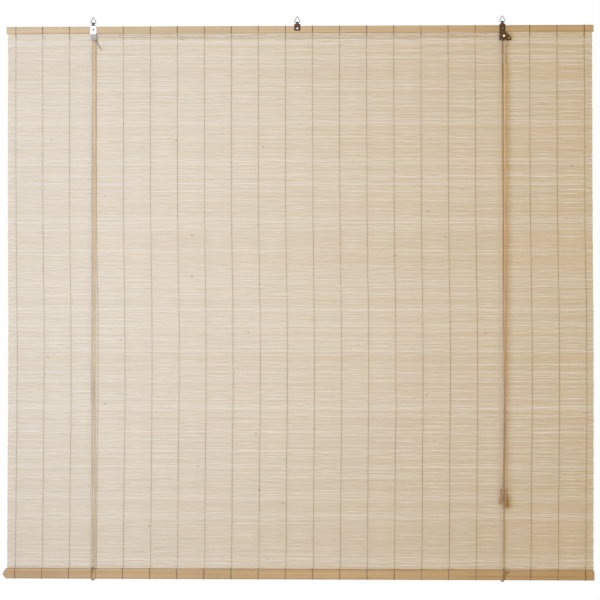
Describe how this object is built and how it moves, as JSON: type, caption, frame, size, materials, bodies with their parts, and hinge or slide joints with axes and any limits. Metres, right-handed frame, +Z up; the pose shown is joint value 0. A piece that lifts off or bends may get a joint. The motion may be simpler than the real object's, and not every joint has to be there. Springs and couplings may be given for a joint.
{
  "type": "bamboo roll-up blind",
  "caption": "Roll-up window blind: a reed mat between two bamboo rails, hung by wire rings, with pulley, cord lock, lift cords and pull cords.",
  "frame": {"origin": "the hook point, at the top of the inside of the middle ring", "axes": "+X to the right along the rails as seen from the front, +Y towards the wall, +Z up"},
  "size_m": [1.817, 0.0343, 1.7354],
  "materials": {
    "rail_bamboo": "satin",
    "reed_bamboo": "matte",
    "cotton_thread": "matte",
    "screw_steel": "satin",
    "ring_wire": "satin",
    "dark_bronze": "antiqued",
    "bright_nickel": "bright",
    "sheave_brass": "satin",
    "tan_cord": "matte"
  },
  "bodies": {
    "headrail": {"top_rail": "rail_bamboo", "bamboo_mat": "reed_bamboo", "warp_threads": "cotton_thread", "top_rail_bindings": "cotton_thread", "hanger_screws": "screw_steel", "middle_hanger_plate": "dark_bronze", "cord_lock_bracket": "dark_bronze", "left_pulley_bracket": "bright_nickel", "left_axle": "bright_nickel", "cord_lock_axle": "screw_steel", "left_staple": "screw_steel", "right_staple": "screw_steel", "left_front_cord": "tan_cord", "left_back_cord": "tan_cord", "left_back_knot": "tan_cord", "left_pull_cord": "tan_cord", "left_tassel": "tan_cord", "right_front_cord": "tan_cord", "right_back_cord": "tan_cord", "right_back_knot": "tan_cord", "right_pull_cord": "tan_cord", "right_tassel": "tan_cord", "left_tail_cord": "tan_cord"},
    "left_ring": {"left_ring": "ring_wire"},
    "middle_ring": {"middle_ring": "ring_wire"},
    "right_ring": {"right_ring": "ring_wire"},
    "left_sheave": {"left_sheave": "sheave_brass"},
    "lock_back_sheave": {"cord_lock_back_sheave": "sheave_brass"},
    "lock_front_sheave": {"cord_lock_front_sheave": "sheave_brass"},
    "lock_roller": {"cord_lock_roller": "sheave_brass"},
    "bottom_rail": {"bottom_rail": "rail_bamboo", "bottom_rail_bindings": "cotton_thread", "left_cord_sling": "tan_cord", "right_cord_sling": "tan_cord"}
  },
  "joints": [
    {"name": "left_ring_swing", "type": "hinge", "parent": "headrail", "child": "left_ring", "pos_m": [-0.63, 0, -0.0165], "axis": [1, 0, 0], "range_deg": [-130, 135]},
    {"name": "middle_ring_swing", "type": "hinge", "parent": "headrail", "child": "middle_ring", "pos_m": [0, 0, -0.0165], "axis": [1, 0, 0], "range_deg": [-130, 135]},
    {"name": "right_ring_swing", "type": "hinge", "parent": "headrail", "child": "right_ring", "pos_m": [0.63, 0, -0.0165], "axis": [1, 0, 0], "range_deg": [-130, 135]},
    {"name": "raise", "type": "slide", "parent": "headrail", "child": "bottom_rail", "axis": [0, 0, 1], "range_m": [0, 1.5], "deforming": ["bamboo_mat", "warp_threads", "left_front_cord", "left_back_cord", "right_front_cord", "right_back_cord", "left_tail_cord"]},
    {"name": "left_sheave_spin", "type": "hinge", "parent": "headrail", "child": "left_sheave", "pos_m": [-0.627, -0.00575, -0.063], "axis": [0, 1, 0], "continuous": true},
    {"name": "lock_back_sheave_spin", "type": "hinge", "parent": "headrail", "child": "lock_back_sheave", "pos_m": [0.633, -0.00575, -0.063], "axis": [0, 1, 0], "continuous": true},
    {"name": "lock_front_sheave_spin", "type": "hinge", "parent": "headrail", "child": "lock_front_sheave", "pos_m": [0.633, -0.01245, -0.063], "axis": [0, 1, 0], "continuous": true},
    {"name": "lock_roller_slide", "type": "slide", "parent": "headrail", "child": "lock_roller", "axis": [-0.6084, 0, 0.7936], "range_m": [0, 0.0075]}
  ],
  "couplings": [
    {"joint": "left_sheave_spin", "follows": "raise", "rad_per_m": 333.33},
    {"joint": "lock_back_sheave_spin", "follows": "raise", "rad_per_m": 333.33},
    {"joint": "lock_front_sheave_spin", "follows": "raise", "rad_per_m": 333.33}
  ]
}
